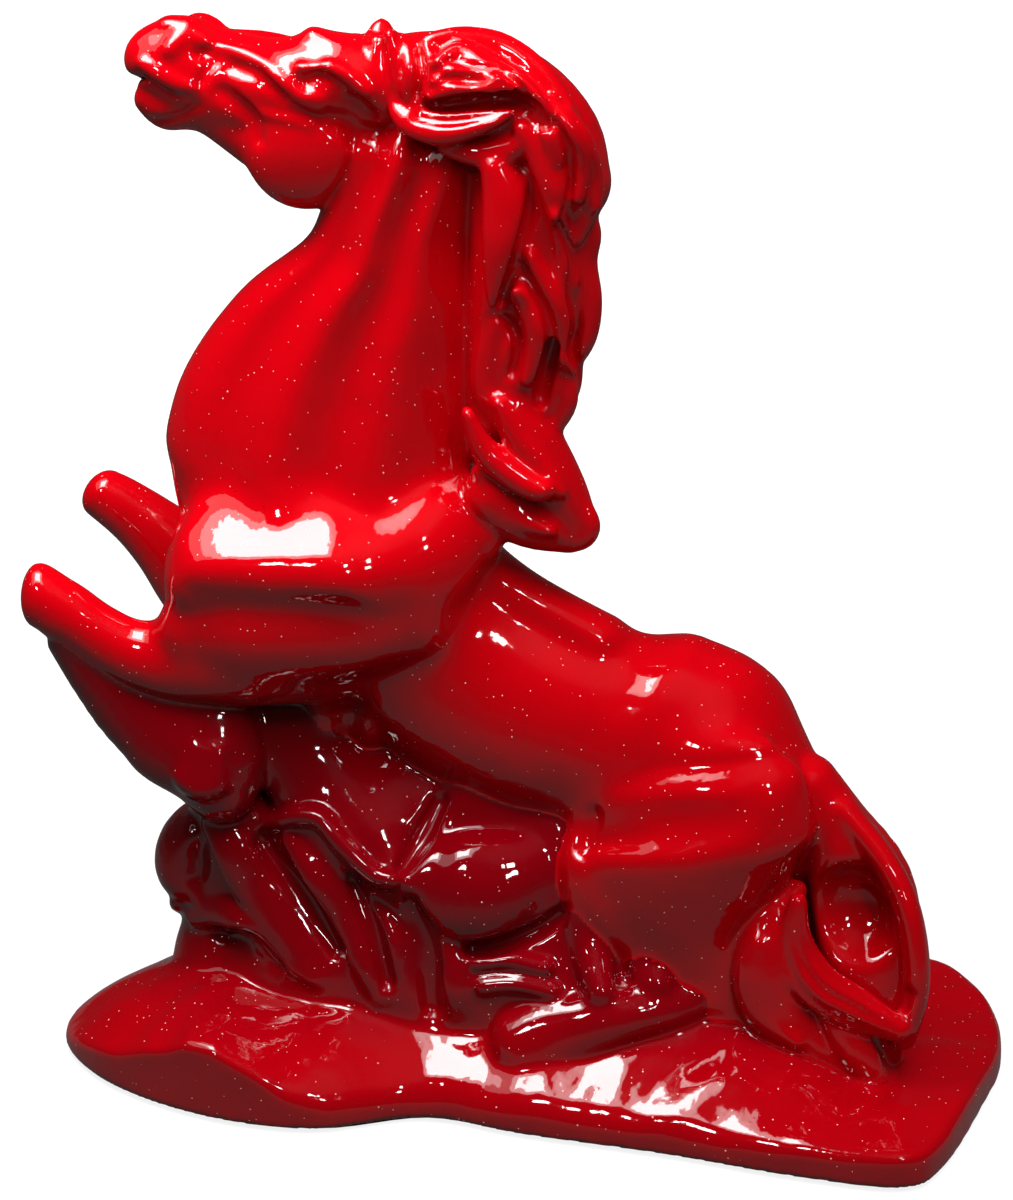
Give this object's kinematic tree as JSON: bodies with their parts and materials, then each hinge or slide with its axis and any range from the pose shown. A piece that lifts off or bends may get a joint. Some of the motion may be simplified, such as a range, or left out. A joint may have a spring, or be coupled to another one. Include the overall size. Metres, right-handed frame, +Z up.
{
  "type": "horse figurine",
  "caption": "Glossy red rearing horse figurine with a flowing mane and tail, its hind legs and belly on a rocky base, for standing on a shelf or desk.",
  "frame": {"origin": "middle of the base's length and depth, on the underside of the felt sole", "axes": "+Z up; the horse faces -X, and its near (left) side, which the picture shows, faces -Y"},
  "size_m": [0.1867, 0.0971, 0.2018],
  "materials": {
    "red_lacquer": "high gloss lacquer over cast resin",
    "dowel_steel": "plain cut wire",
    "sole_felt": "pressed felt"
  },
  "bodies": {
    "root": {"fore_spur": "red_lacquer", "head": "red_lacquer", "mane_crest": "red_lacquer", "mane_fall": "red_lacquer", "mane_hook": "red_lacquer", "near_ear": "red_lacquer", "near_foreleg": "red_lacquer", "near_hind_leg": "red_lacquer", "neck": "red_lacquer", "off_ear": "red_lacquer", "off_foreleg": "red_lacquer", "off_hind_leg": "red_lacquer", "rock_base": "red_lacquer", "tail_dock": "red_lacquer", "tail_swirl": "red_lacquer", "trunk": "red_lacquer", "crest_dowel": "dowel_steel", "fall_dowel": "dowel_steel", "head_dowel": "dowel_steel", "hook_dowel": "dowel_steel", "near_hip_dowel": "dowel_steel", "near_shoulder_dowel": "dowel_steel", "neck_dowel": "dowel_steel", "off_hip_dowel": "dowel_steel", "off_shoulder_dowel": "dowel_steel", "spur_dowel": "dowel_steel", "swirl_dowel": "dowel_steel", "tail_dowel": "dowel_steel", "trunk_dowel": "dowel_steel", "felt_sole": "sole_felt"}
  },
  "joints": []
}
